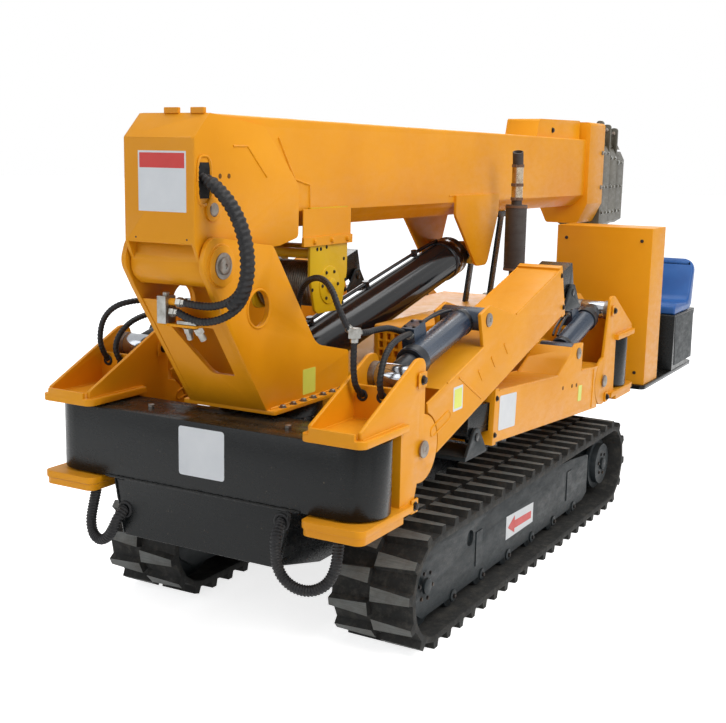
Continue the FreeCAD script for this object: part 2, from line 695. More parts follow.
def arm(end):
    """Welded box arm: side plates with ram ears, open end with a collar, hinge tongue."""
    spec = ENDS[end]
    low, high = arm_levels(spec)
    tip = spec["tip_s"]
    lug_s, lug_t = spec["lug_s"], high + EAR_UP
    box = block(ARM_ROOT, tip, -ARM_HALF, ARM_HALF, low, high)
    hollow = block(TONGUE_LENGTH, tip + 1, -ARM_HALF + ARM_WALL, ARM_HALF - ARM_WALL,
                   low + ARM_WALL, high - ARM_WALL)
    notch = block(ARM_ROOT - 1, TONGUE_LENGTH - 20, -ARM_HALF + ARM_WALL, ARM_HALF - ARM_WALL,
                  low - 1, high + 1)
    collar = block(tip - COLLAR_LONG, tip, -ARM_HALF, ARM_HALF,
                   low - COLLAR_PROUD, high + COLLAR_PROUD)
    mouth = block(tip - COLLAR_LONG - 1, tip + 1, -LEG_HALF - LEG_SLIP, LEG_HALF + LEG_SLIP,
                  spec["offset"] - LEG_DEPTH / 2 - SEAT_GAP,
                  spec["offset"] + LEG_DEPTH / 2 + SEAT_GAP)
    tongue = join([block(0, TONGUE_LENGTH, -TONGUE_HALF, TONGUE_HALF, -70, 70),
                   rod_y(0, 0, 85, -TONGUE_HALF, TONGUE_HALF)])
    shell = box.cut(hollow).cut(notch)
    ears = []
    for side in (1, -1):
        y0, y1 = span_y(side, ARM_HALF - EAR_THICK, ARM_HALF)
        root = high - ARM_WALL
        ears.append(plate_xz([(lug_s - 62, root), (lug_s - 62, lug_t + EAR_RADIUS, 8),
                              (lug_s + 30, lug_t + EAR_RADIUS, 12),
                              (lug_s + EAR_LONG, high + 4, 10), (lug_s + EAR_LONG + 10, root)], y0, y1))
    if end == "rear":
        ears.append(plate_xz([(lug_s + 64, lug_t + EAR_RADIUS - 16), (lug_s + EAR_LONG, high),
                              (lug_s + EAR_LONG - 24, high), (lug_s + 52, lug_t + EAR_RADIUS - 16)],
                             -ARM_HALF + 2, ARM_HALF - 2))
    shape = join([shell, collar.cut(mouth), tongue] + ears)
    shape = shape.cut(mouth)
    seam = rod_y(0, 0, HINGE_DISC + SEAM, -ARM_HALF - 1, ARM_HALF + 1)
    seam = seam.cut(rod_y(0, 0, HINGE_DISC + SEAM + 1, -TONGUE_HALF, TONGUE_HALF))
    shape = shape.cut(seam)
    shape = shape.cut(rod_y(0, 0, HINGE_PIN + PIN_CLEAR, -ARM_HALF, ARM_HALF))
    return tilt_arm(shape, spec)


def leg(end):
    """Inner box that slides out of the arm, with lugs for the foot's pin."""
    spec = ENDS[end]
    tip = spec["tip_s"]
    mid = spec["offset"]
    low, high = mid - LEG_DEPTH / 2, mid + LEG_DEPTH / 2
    box = block(LEG_ROOT, tip + LEG_OUT, -LEG_HALF, LEG_HALF, low, high)
    hollow = block(LEG_ROOT - 1, tip + 60, -LEG_HALF + LEG_WALL, LEG_HALF - LEG_WALL,
                   low + LEG_WALL, high - LEG_WALL)
    arm_low, arm_high = arm_levels(spec)
    reach = ARM_HALF - ARM_WALL - SEAT_GAP
    shoe = block(LEG_ROOT, LEG_ROOT + LEG_SHOE, -reach, reach,
                 arm_low + ARM_WALL + SEAT_GAP, arm_high - ARM_WALL - SEAT_GAP)
    pivot = tip + FOOT_OUT
    lugs = []
    for side in (1, -1):
        y0, y1 = span_y(side, LEG_HALF - 20, LEG_HALF)
        lugs.append(plate_xz([(pivot - 45, mid), (pivot - 32, mid - FOOT_DROP - 26, 24),
                              (pivot + 32, mid - FOOT_DROP - 26, 24), (pivot + 45, mid)], y0, y1))
    pin = rod_y(pivot, mid - FOOT_DROP, FOOT_PIN, -LEG_HALF - 20, LEG_HALF + 20)
    return tilt_arm(join([join([box, shoe]).cut(hollow), pin] + lugs), spec)


def foot(end):
    """Foot plate with two triangular ears that hang from the leg's pin, level."""
    spec = ENDS[end]
    pa, pz = arm_point(spec, spec["tip_s"] + FOOT_OUT, spec["offset"] - FOOT_DROP)
    base_top = pz - FOOT_BASE_DROP
    near = LEG_HALF + FOOT_GAP
    pieces = [block(pa - FOOT_HALF, pa + FOOT_HALF, -near - FOOT_EAR, near + FOOT_EAR,
                    base_top - FOOT_THICK, base_top)]
    for side in (1, -1):
        y0, y1 = span_y(side, near, near + FOOT_EAR)
        pieces.append(plate_xz([(pa - FOOT_HALF + 8, base_top), (pa - 20, pz + 34, 24),
                                (pa + 20, pz + 34, 24), (pa + FOOT_HALF - 8, base_top)], y0, y1))
    shape = join(pieces)
    return shape.cut(rod_y(pa, pz, FOOT_PIN + PIN_CLEAR, -200, 200))


def ram_ends(end):
    """The ram's two pins: at the bracket, and at the arm's ears."""
    spec = ENDS[end]
    low, high = arm_levels(spec)
    return (spec["pin_a"], spec["pin_z"]), arm_point(spec, spec["lug_s"], high + EAR_UP)


def lay_ram(shape, end):
    """Turns a piece drawn level from the arm's ear pin along +X towards the bracket."""
    (pa, pz), (la, lz) = ram_ends(end)
    shape = shape.copy()
    angle = math.degrees(math.atan2(pz - lz, pa - la))
    shape.rotate(V(0, 0, 0), V(0, 1, 0), -angle)
    shape.translate(V(la, 0, lz))
    return shape


def ram_length(end):
    (pa, pz), (la, lz) = ram_ends(end)
    return math.hypot(pa - la, pz - lz)


def ram_barrel(end):
    """Outrigger cylinder's barrel with its eye in the arm's ears and a lock valve."""
    length = ram_length(end)
    nose = length * RAM_LENGTH_SHARE
    ear_in = ARM_HALF - EAR_THICK - SEAT_GAP
    body = rod_x(0, 0, RAM_RADIUS, 30, nose)
    gland = rod_x(0, 0, RAM_RADIUS + 5, nose - 40, nose)
    eye = rod_y(0, 0, RAM_EYE, -ear_in, ear_in)
    valve = block(nose * 0.62, nose * 0.62 + VALVE_LONG, -VALVE_Y - VALVE_WIDE / 2,
                  -VALVE_Y + VALVE_WIDE / 2, -RAM_RADIUS - VALVE_HIGH, -15)
    shape = join([body, gland, eye, valve])
    shape = shape.cut(rod_x(0, 0, RAM_BORE, 70, nose + 1))
    return lay_ram(shape, end)


def ram_rod(end):
    length = ram_length(end)
    rod = rod_x(0, 0, RAM_ROD, length * 0.45, length)
    eye = rod_y(length, 0, RAM_EYE, -CHEEK_IN + SEAT_GAP, CHEEK_IN - SEAT_GAP)
    return lay_ram(join([rod, eye]), end)


# Turret

TURRET_BASE_TOP = TURRET_BASE_Z + TURRET_BASE_THICK
SLAB_TOP = PIVOT_Z - SLAB_DOWN
SHELF_Z = PIVOT_Z - 196.0
SHELF_THICK = 8.0
RISER_X = SLEW_X + 11.0
RISER_Y = 118.0
RISER_TOP = PIVOT_Z - 226.0


def front_x(z):
    """The turret's leaning front edge."""
    return TURRET_BASE_FRONT + (z - TURRET_BASE_Z) * TURRET_LEAN


def turret_side(y0, y1):
    foot_z = TURRET_BASE_TOP
    brow = PIVOT_Z - 86.0
    rear = TURRET_BASE_REAR + 10
    corners = [(front_x(foot_z) - 6, foot_z), (front_x(brow), brow, 40),
               (PIVOT_X + PIVOT_EAR, PIVOT_Z, 60), (PIVOT_X + 60, PIVOT_Z + PIVOT_EAR, 60),
               (PIVOT_X - 295, PIVOT_Z + 46, 30), (SLEW_X - 47, TURRET_BASE_Z + 201, 120),
               (rear, TURRET_BASE_Z + 150, 20), (rear, foot_z)]
    shape = plate_xz(corners, y0, y1)
    return shape.cut(rod_y(PIVOT_X - WINDOW_BACK, PIVOT_Z - WINDOW_DOWN, WINDOW_HALF, y0 - 1, y1 + 1))


def hose_manifold():
    """Shelf on the slab with the block that the boom hoses screw into."""
    x = front_x(SHELF_Z)
    shelf = plate_xy([(x - 12, -62), (x + 75, -40, 12), (x + 104, -20, 12), (x + 104, 118, 12), (x - 12, 118)],
                     SHELF_Z, SHELF_Z + SHELF_THICK)
    tower = block(x + 66, x + 110, -24, 10, SHELF_Z, PIVOT_Z - 101)
    ports = [rod_y(PIVOT_X + 59, PIVOT_Z - 118, BOOM_HOSE_RADIUS - 1, 10, 66),
             rod_y(PIVOT_X + 61, PIVOT_Z - 150, BOOM_HOSE_RADIUS - 1, 10, 40)]
    return [shelf, tower] + ports


def turret():
    """Base plate, two leaning side plates with boom ears, sloped front slab with a slot."""
    base = plate_xy([(TURRET_BASE_FRONT, -TURRET_BASE_HALF, 10),
                     (TURRET_BASE_FRONT, TURRET_BASE_HALF, 10),
                     (TURRET_BASE_REAR, TURRET_BASE_HALF, 30), (TURRET_BASE_REAR, TURRET_BAY_HALF),
                     (TURRET_BASE_REAR + TURRET_BAY, TURRET_BAY_HALF),
                     (TURRET_BASE_REAR + TURRET_BAY, -TURRET_BAY_HALF),
                     (TURRET_BASE_REAR, -TURRET_BAY_HALF), (TURRET_BASE_REAR, -TURRET_BASE_HALF, 30)],
                    TURRET_BASE_Z, TURRET_BASE_TOP)
    slab = plate_xz([(front_x(TURRET_BASE_TOP) - 6, TURRET_BASE_TOP), (front_x(SLAB_TOP) - 6, SLAB_TOP),
                     (front_x(SLAB_TOP) - 6 - SLAB_THICK, SLAB_TOP),
                     (front_x(TURRET_BASE_TOP) - 6 - SLAB_THICK, TURRET_BASE_TOP)],
                    -TURRET_IN, TURRET_IN)
    high, low = PIVOT_Z - 211, PIVOT_Z - 386
    slot = plate_yz([(-85, high), (95, high), (95, low), (0, low, 30)],
                    TURRET_BASE_FRONT - 70, PIVOT_X + 71)
    pieces = [base, slab.cut(slot)] + hose_manifold()
    pieces.append(rod_z(RISER_X, RISER_Y, HOSE_RADIUS, TURRET_BASE_TOP, RISER_TOP))
    for side in (1, -1):
        y0, y1 = span_y(side, TURRET_IN, TURRET_OUT)
        pieces.append(turret_side(y0, y1))
        lug0, lug1 = span_y(side, LUFF_BASE_HALF + SEAT_GAP, LUFF_BASE_HALF + 24)
        pieces.append(plate_xz([(LUFF_BASE_X - 75, TURRET_BASE_TOP),
                                (LUFF_BASE_X - 45, LUFF_BASE_Z + 48, 40),
                                (LUFF_BASE_X + 45, LUFF_BASE_Z + 48, 40),
                                (LUFF_BASE_X + 95, TURRET_BASE_TOP)], lug0, lug1))
        cap0, cap1 = span_y(side, TURRET_OUT, TURRET_OUT + 10)
        pieces.append(rod_y(PIVOT_X, PIVOT_Z, PIVOT_PIN + 20, cap0, cap1))
    pieces.append(rod_y(PIVOT_X, PIVOT_Z, PIVOT_PIN, -TURRET_OUT, TURRET_OUT))
    reach = LUFF_BASE_HALF + 24
    pieces.append(rod_y(LUFF_BASE_X, LUFF_BASE_Z, LUFF_PIN, -reach, reach))
    return join(pieces)


# Luff cylinder

LUFF_LENGTH = math.hypot(LUFF_LUG_X - LUFF_BASE_X, LUFF_LUG_Z - LUFF_BASE_Z)


def lay_luff(shape):
    angle = math.degrees(math.atan2(LUFF_LUG_Z - LUFF_BASE_Z, LUFF_LUG_X - LUFF_BASE_X))
    shape = shape.copy()
    shape.rotate(V(0, 0, 0), V(0, 1, 0), -angle)
    shape.translate(V(LUFF_BASE_X, 0, LUFF_BASE_Z))
    return shape


def luff_barrel():
    nose = LUFF_LENGTH - 110.0
    body = rod_x(0, 0, LUFF_RADIUS, 105, nose)
    neck = rod_x(0, 0, 48, 0, 120)
    gland = rod_x(0, 0, LUFF_RADIUS + 6, nose - 60, nose)
    eye = rod_y(0, 0, LUFF_EYE, -LUFF_BASE_HALF, LUFF_BASE_HALF)
    shape = join([body, neck, gland, eye])
    shape = shape.cut(rod_x(0, 0, LUFF_BORE, 160, nose + 1))
    return lay_luff(shape.cut(rod_y(0, 0, LUFF_PIN + PIN_CLEAR, -LUFF_BASE_HALF - 1, LUFF_BASE_HALF + 1)))


def luff_rod():
    rod = rod_x(0, 0, LUFF_ROD, 420, LUFF_LENGTH)
    eye = rod_y(LUFF_LENGTH, 0, LUFF_EYE, -BOOM_HALF + SEAT_GAP, BOOM_HALF - SEAT_GAP)
    return lay_luff(join([rod, eye]))


# Boom

def section_corners(inset):
    """Boom cross-section: flat top and sides, folded lower corners."""
    half = BOOM_HALF - inset
    top, bottom = BOOM_TOP - inset, BOOM_BOTTOM + inset
    return [(-half, top, 8), (-half, bottom + BOOM_FOLD), (-half + BOOM_FOLD, bottom),
            (half - BOOM_FOLD, bottom), (half, bottom + BOOM_FOLD), (half, top, 8)]


def section_tube(index, x0, x1):
    inset = (index - 1) * BOOM_STEP
    outer = plate_yz(section_corners(inset), x0, x1)
    return outer.cut(plate_yz(section_corners(inset + BOOM_WALL), x0 - 1, x1 + 1))


def slide_pads(index, x0, x1, outside):
    """Top and bottom pads between a section and the one round it, fixed to one of them."""
    inset = (index - 1) * BOOM_STEP
    thick = BOOM_STEP - BOOM_WALL
    half = BOOM_HALF - inset - BOOM_FOLD
    low = SEAT_GAP if outside else 0.0
    high = 0.0 if outside else SEAT_GAP
    top, bottom = BOOM_TOP - inset, BOOM_BOTTOM + inset
    return [block(x0, x1, -half, half, top + high, top + thick - low),
            block(x0, x1, -half, half, bottom - thick + low, bottom - high)]


def boom_foot_plates(y0, y1):
    """Doublers on one side: at the boom's foot round the pivot, and at the luff ears."""
    tail, low, high = BOOM_TAIL_X, BOOM_TAIL_LOW, BOOM_TAIL_HIGH
    foot = plate_xz([(tail, low, 20), (tail, high, 10), (tail - BOOM_TAIL_CUT, BOOM_TOP, 10),
                     (tail - 375, BOOM_TOP - 30, 40), (tail - 585, BOOM_BOTTOM + 150, 40),
                     (tail - 585, BOOM_BOTTOM - 30, 20), (tail - 471, BOOM_BOTTOM - 52, 40),
                     (PIVOT_X - 80, PIVOT_Z + 24, 30), (PIVOT_X - 20, PIVOT_Z - PIVOT_BOSS, 30),
                     (PIVOT_X + 30, PIVOT_Z - PIVOT_BOSS, 30)], y0, y1)
    x, z = LUFF_LUG_X, LUFF_LUG_Z
    ears = plate_xz([(x + 309, BOOM_BOTTOM + 90), (x + 309, BOOM_BOTTOM, 30), (x + 65, z - 58, 55),
                     (x - 55, z - 58, 50), (x - 174, BOOM_BOTTOM, 40), (x - 174, BOOM_BOTTOM + 90)], y0, y1)
    return [foot, ears]


def boom_base():
    """Outer boom box with its closed foot, pivot boss, luff ears and end collar."""
    tail, low, high = BOOM_TAIL_X, BOOM_TAIL_LOW, BOOM_TAIL_HIGH
    cut, thick = BOOM_TAIL_CUT, COVER_THICK
    tube = section_tube(1, BOOM_END_X, tail - thick)
    trim = plate_xz([(tail - thick, low - 100), (tail + 50, low - 100), (tail + 50, BOOM_TOP + 50),
                     (tail - cut, BOOM_TOP + 50), (tail - cut, BOOM_TOP), (tail - thick, high + 5)],
                    -BOOM_HALF - 1, BOOM_HALF + 1)
    cover = plate_xz([(tail, low, 6), (tail, high), (tail - cut, BOOM_TOP), (tail - cut - 14, BOOM_TOP),
                      (tail - cut - 14, BOOM_TOP - 8), (tail - thick, high - 4), (tail - thick, low)],
                     -BOOM_HALF, BOOM_HALF)
    pieces = [tube.cut(trim), cover]
    for side in (1, -1):
        y0, y1 = span_y(side, BOOM_HALF, BOOM_HALF + DOUBLER)
        pieces.extend(boom_foot_plates(y0, y1))
    pieces.append(rod_y(PIVOT_X, PIVOT_Z, PIVOT_BOSS, -BOOM_HALF - DOUBLER, BOOM_HALF + DOUBLER))
    pieces.append(block(PIVOT_X - 60, PIVOT_X + 60, -BOOM_HALF, BOOM_HALF, PIVOT_Z, BOOM_BOTTOM + 10))
    collar = plate_yz([(-COLLAR_HALF, COLLAR_HIGH, 20), (-COLLAR_HALF, BOOM_BOTTOM + 10, 10),
                       (-95, COLLAR_LOW, 20), (95, COLLAR_LOW, 20), (COLLAR_HALF, BOOM_BOTTOM + 10, 10),
                       (COLLAR_HALF, COLLAR_HIGH, 20)], COLLAR_END_X, BOOM_END_X)
    mouth = plate_yz(section_corners(BOOM_WALL), COLLAR_END_X - 1, BOOM_END_X + 1)
    pieces.append(collar.cut(mouth))
    pieces.extend(slide_pads(2, COLLAR_END_X, COLLAR_END_X + PAD_LONG, False))
    pieces.append(plate_xz([(BOOM_END_X + 14, BOOM_TOP), (BOOM_END_X + 14, BOOM_TOP + BOX_UP, 12),
                            (BOOM_END_X + BOX_LONG - 30, BOOM_TOP + BOX_UP - 12, 20),
                            (BOOM_END_X + BOX_LONG, BOOM_TOP)], -BOX_HALF, BOX_HALF))
    shape = join(pieces)
    reach = TURRET_OUT + 1
    return shape.cut(rod_y(PIVOT_X, PIVOT_Z, PIVOT_PIN + PIN_CLEAR, -reach, reach))


def head_fins(index, x0, half, high):
    """Two round-topped guides that stand on a section's head."""
    top = BOOM_TOP + 117.0 - (index - 2) * 16.0
    fins = []
    for side in (1, -1):
        y0, y1 = span_y(side, half - 49.0, half - 6.0)
        fins.append(plate_yz([(y0, high - 80), (y0, top, 18), (y1, top, 18), (y1, high - 80)],
                             x0 - 10 - FIN_THICK, x0 - 10))
    return fins


def boom_section(index):
    """One sliding section: its tube and the dark head at its outer end."""
    inset = (index - 1) * BOOM_STEP
    last = index == SECTION_COUNT
    x0 = HEAD_START_X - (index - 2) * HEAD_PITCH
    x1 = x0 - (LAST_HEAD_LONG if last else HEAD_LONG)
    tail = SECTION_TAIL_X - (index - 2) * TAIL_PITCH
    tube = section_tube(index, x0, tail)
    half = BOOM_HALF - inset + HEAD_SIDE
    high = BOOM_TOP - inset + HEAD_SIDE
    low = HEAD_LOW + (index - 2) * HEAD_STEP
    head = plate_yz([(-half, high - 90), (-half, low + 26), (-half + 40, low), (half - 40, low),
                     (half, low + 26), (half, high - 90), (half - 45, high), (-half + 45, high)], x1, x0)
    head = join([head] + head_fins(index, x0, half, high))
    mouth = plate_yz(section_corners(inset + BOOM_WALL), x1 - 1, x0 + 1)
    pieces = [tube, head.cut(mouth)] + slide_pads(index, tail - PAD_LONG, tail, True)
    if last:
        for side in (1, -1):
            y0, y1 = span_y(side, 14, 26)
            pieces.append(plate_xz([(HOOK_X - 26, low + 10), (HOOK_X - 20, HOOK_Z - 22, 18),
                                    (HOOK_X + 20, HOOK_Z - 22, 18), (HOOK_X + 26, low + 10)], y0, y1))
        pieces.append(rod_y(HOOK_X, HOOK_Z, HOOK_PIN, -32, 32))
    else:
        pieces.extend(slide_pads(index + 1, x1, x1 + PAD_LONG, False))
    return join(pieces)


# Winch

def winch_frame():
    """Two hanging plates under the boom's foot that carry the drum, with a cover."""
    pieces = []
    reach = BOOM_HALF + SEAT_GAP
    x, low = WINCH_X, WINCH_Z
    for side in (1, -1):
        y0, y1 = span_y(side, reach, reach + WINCH_PLATE)
        pieces.append(plate_xz([(x + 130, BOOM_BOTTOM + 70), (x + 130, low + 40, 20), (x + 90, low - 100, 30),
                                (x - 90, low - 100, 30), (x - 130, low + 40, 30),
                                (x - 130, BOOM_BOTTOM + 70)], y0, y1))
    for dx in (-105, 105):
        pieces.append(rod_y(x + dx, low + 120, 18.0, -reach, reach))
    pieces.append(prism_y(x, low, 70.0, 24, reach + WINCH_PLATE, reach + WINCH_PLATE + 5))
    return join(pieces)


def winch_drum():
    reach = BOOM_HALF
    drum = prism_y(WINCH_X, WINCH_Z, DRUM_RADIUS, 32, -reach, reach)
    flanges = [prism_y(WINCH_X, WINCH_Z, DRUM_FLANGE, 32, y, y + 12) for y in (-reach + 6, reach - 18)]
    bore = rod_y(WINCH_X, WINCH_Z, DRUM_BORE, -reach - 1, reach + 1)
    return join([drum] + flanges).cut(bore)


# Bodywork

def hood_body(inset):
    """Solid form of the engine cover, each face moved in by the inset."""
    front, rear = HOOD_FRONT_X - inset, HOOD_REAR_X + inset
    half = HOOD_HALF - inset
    return plate_xz([(front, CHASSIS_TOP), (front, HOOD_FRONT_Z - inset, 20),
                     (HOOD_BREAK_X, HOOD_BREAK_Z - inset, 60), (rear, HOOD_REAR_Z - inset, 24),
                     (rear, CHASSIS_TOP)], -half, half)


def hood():
    """Engine cover: sloped front under the luff cylinder, flat rear part."""
    return hood_body(0.0).cut(hood_body(HOOD_WALL))


def engine():
    return block(ENGINE_X, ENGINE_X + ENGINE_LONG, -ENGINE_HALF, ENGINE_HALF, CHASSIS_TOP,
                 CHASSIS_TOP + ENGINE_HEIGHT)


def side_cover():
    """Raised cover on the left with rows of slots in its front face."""
    front, rear, top = SIDE_COVER_FRONT, SIDE_COVER_FRONT - SIDE_COVER_LONG, SIDE_COVER_TOP
    shape = plate_xz([(front, HOOD_FRONT_Z), (front, top, 14), (rear + 40, top, 30), (rear, top - 36)],
                     SIDE_COVER_Y, HOOD_HALF)
    pitch = (HOOD_HALF - SIDE_COVER_Y - 30) / GRILLE_COLUMNS
    for row in range(GRILLE_ROWS):
        z0 = top - 24 - (row + 1) * 34
        for column in range(GRILLE_COLUMNS):
            y0 = SIDE_COVER_Y + 15 + (column + 0.5) * pitch - GRILLE_SLOT
            shape = shape.cut(block(front - GRILLE_DEEP, front + 1, y0, y0 + 2 * GRILLE_SLOT, z0, z0 + 24))
    return shape.cut(hood_body(0.0))


def hood_top(x):
    """Height of the flat rear part of the hood at a place x."""
    share = (x - HOOD_BREAK_X) / (HOOD_REAR_X - HOOD_BREAK_X)
    return HOOD_BREAK_Z + share * (HOOD_REAR_Z - HOOD_BREAK_Z)


def exhaust():
    """Stem on the hood, round muffler, and a tail pipe with a leaning open end."""
    x, y = EXHAUST_X, EXHAUST_Y
    base = hood_top(x - 24) + SEAT_GAP
    low = base + 195.0
    high = low + MUFFLER_LONG
    bend = V(0.35, 0.1, 1)
    pieces = [rod_z(x, y, 24, base, low), rod_z(x, y, MUFFLER_RADIUS, low, high),
              rod_z(x, y, 25, high, high + 190), Part.makeCylinder(25, 70, V(x, y, high + 178), bend)]
    bore = Part.makeCylinder(20, 100, V(x, y, high + 188), bend)
    return join(pieces).cut(bore)


def bin_box(x0, x1, y0, y1, top):
    """Sheet-metal box with no bottom, standing on the floor plate."""
    outer = block(x0, x1, y0, y1, FLOOR_Z, top)
    wall = SHEET_WALL
    return outer.cut(block(x0 + wall, x1 - wall, y0 + wall, y1 - wall, FLOOR_Z - 1, top - wall))


def console():
    return bin_box(CONSOLE_X - CONSOLE_DEPTH, CONSOLE_X, CONSOLE_Y0, CONSOLE_Y1, CONSOLE_TOP)


def platform():
    """Black floor behind the console, hung from the rear of the main frame."""
    rear = REAR_SWIVEL_X - BEAM_RADIUS
    low = FLOOR_Z - FLOOR_THICK
    floor = plate_xy([(FLOOR_REAR_X, CONSOLE_Y0), (CONSOLE_X + 24, CONSOLE_Y0), (CONSOLE_X + 24, SEAT_BASE_Y1, 30),
                      (FLOOR_REAR_X, SEAT_BASE_Y1, 40)], low, FLOOR_Z)
    rails = [plate_xz([(rear, low), (FLOOR_REAR_X + 67, low), (FLOOR_REAR_X + 117, low - RAIL_DEEP / 2),
                       (rear, low - RAIL_DEEP)], y, y + RAIL_WIDE) for y in RAIL_YS]
    apron = block(CONSOLE_X, rear, CONSOLE_Y0, CHASSIS_HALF_TOP, low, FLOOR_Z)
    edge = rear - SWIVEL_ROOM
    shelf = plate_xy([(TANK_X0, TANK_Y0), (edge, TANK_Y0), (edge, -CHASSIS_HALF_TOP), (rear, -CHASSIS_HALF_TOP),
                      (rear, TANK_Y1), (TANK_X0, TANK_Y1)], low, FLOOR_Z)
    return Part.makeCompound([join([floor, apron] + rails), shelf])


def seat_base_body(inset, floor):
    return plate_xz([(SEAT_BASE_X - inset, floor), (SEAT_BASE_X - inset, SEAT_BASE_TOP - inset, 10),
                     (FLOOR_REAR_X + inset * 2, SEAT_BASE_TOP - inset, 10),
                     (SEAT_BASE_FOOT_X + inset, floor)], SEAT_BASE_Y0 + inset, SEAT_BASE_Y1 - inset)


def seat_base():
    return seat_base_body(0.0, FLOOR_Z).cut(seat_base_body(SHEET_WALL, FLOOR_Z - 1))


def seat():
    """Moulded seat shell: a pan and a tall back that face the console."""
    z, x = SEAT_BASE_TOP, SEAT_BASE_X
    pan = plate_xz([(x - 12, z), (x - 2, z + 50, 20), (x - 52, z + 64, 30), (x - 302, z + 48, 60),
                    (x - 402, z + 296, 20), (x - 437, z + 296, 16), (x - 392, z, 60)],
                   SEAT_BASE_Y0 + 35, SEAT_BASE_Y1 - 4)
    rim = plate_yz([(SEAT_BASE_Y0 + 35, z), (SEAT_BASE_Y0 + 35, z + 296, 70),
                    (SEAT_BASE_Y1 - 4, z + 296, 70), (SEAT_BASE_Y1 - 4, z)], x - 450, x)
    return pan.common(rim)


def oil_tank():
    return bin_box(TANK_X0, TANK_X1, TANK_Y0, TANK_Y1, TANK_TOP)


def boom_rest():
    """Two leaning legs on the hood with a flat pad under the boom."""
    x = REST_X
    low = hood_top(x) + SEAT_GAP
    high = BOOM_BOTTOM - 30.0
    legs = [plate_xz([(x, low), (x + 50, low), (x - 70, high), (x - 120, high)], y, y + 14)
            for y in (-REST_HALF, REST_HALF - 14)]
    pad = block(x - 140, x - 50, -REST_HALF, REST_HALF, high, BOOM_BOTTOM - SEAT_GAP)
    return join(legs + [pad])


def hook_block():
    """Hook block pulled up under the boom head, with its open hook."""
    x, z, half = HOOK_X, HOOK_Z, HOOK_HALF
    cheeks = plate_xz([(x - half, z - 70, 16), (x + half, z - 70, 16), (x + half - 6, z - 200, 30),
                       (x - half + 6, z - 200, 30)], -34, 34)
    link = plate_xz([(x - 20, z + 20, 18), (x + 20, z + 20, 18), (x + 20, z - 90), (x - 20, z - 90)],
                    -12, 12)
    link = link.cut(rod_y(x, z, HOOK_PIN + PIN_CLEAR, -20, 20))
    shank = rod_z(x, 0, 20, z - 250, z - 180)
    low, mid = z - HOOK_DROP - 60, z - HOOK_DROP
    hook = plate_xz([(x - 20, z - 240), (x + 20, z - 240), (x + 32, mid + 30, 20), (x + 32, mid + 8),
                     (x + 60, mid + 8), (x + 60, low, 52), (x - 62, low, 52), (x - 62, mid + 26, 12),
                     (x - 36, mid + 26, 8), (x - 30, mid - 30, 24), (x + 28, mid - 30, 24),
                     (x + 20, mid + 10, 16), (x - 20, mid + 36, 12)], -14, 14)
    return join([cheeks, link, shank, hook])


# Hoses: runs between chosen points, joined by arcs

ARC_SHARE = 0.45
HOSES = {
    "boom_hose_upper": (BOOM_HOSE_RADIUS, [
        (2190, 138.3, 1655), (2186, 200, 1612), (2184, 262, 1535), (2183, 295, 1440), (2183, 296, 1352),
        (2184, 266, 1290), (2186, 205, 1258), (2188, 130, 1250), (2188, 66, 1258)]),
    "boom_hose_lower": (BOOM_HOSE_RADIUS, [
        (2163, 138.3, 1650), (2159, 200, 1610), (2157, 262, 1533), (2156, 295, 1438), (2157, 297, 1345),
        (2163, 276, 1268), (2180, 222, 1222), (2188, 150, 1200), (2190, 88, 1207), (2190, 40, 1226)]),
    "loop_hose": (HOSE_RADIUS, [
        (1612, 118, 1150), (1622, 130, 1225), (1668, 185, 1290), (1745, 290, 1322), (1822, 385, 1300),
        (1862, 440, 1228), (1852, 474, 1165)]),
    "drop_hose_left": (HOSE_RADIUS, [
        (1845, 488, 1142), (1850, 489, 1090), (1850, 490, 1025), (1840, 494, 975), (1800, 498, 944)]),
    "branch_hose_left": (HOSE_RADIUS, [
        (1834, 489, 1157), (1776, 490, 1150), (1690, 492, 1152), (1600, 494, 1148), (1508, 492, 1118)]),
    "valve_hose_left": (HOSE_RADIUS, [
        (1504, 518, 1116), (1600, 535, 1120), (1700, 552, 1112), (1775, 566, 1085), (1818, 574, 1035),
        (1830, 576, 985), (1800, 572, 946)]),
    "drop_hose_right": (HOSE_RADIUS, [
        (1508, -492, 1118), (1600, -480, 1150), (1710, -470, 1178), (1790, -478, 1185),
        (1838, -530, 1168), (1840, -586, 1120), (1838, -609, 1060), (1834, -610, 1000), (1800, -602, 950)]),
    "valve_hose_right": (HOSE_RADIUS, [
        (1504, -518, 1116), (1600, -530, 1118), (1690, -545, 1108), (1762, -552, 1080),
        (1810, -553, 1035), (1826, -548, 985), (1800, -536, 946)]),
    "swivel_hose_left": (CONDUIT_RADIUS, [
        (2040, 340, 548), (2086, 346, 520), (2094, 352, 466), (2093, 357, 416), (2088, 382, 372),
        (2080, 427, 347), (2070, 477, 347), (2058, 522, 372), (2047, 546, 416), (2038, 552, 470),
        (2030, 553, 531)]),
    "swivel_hose_right": (CONDUIT_RADIUS, [
        (2040, -322, 478), (2074, -326, 462), (2086, -340, 415), (2085, -368, 376), (2080, -410, 358),
        (2070, -450, 374), (2060, -468, 418), (2050, -464, 472), (2044, -452, 531)]),
}


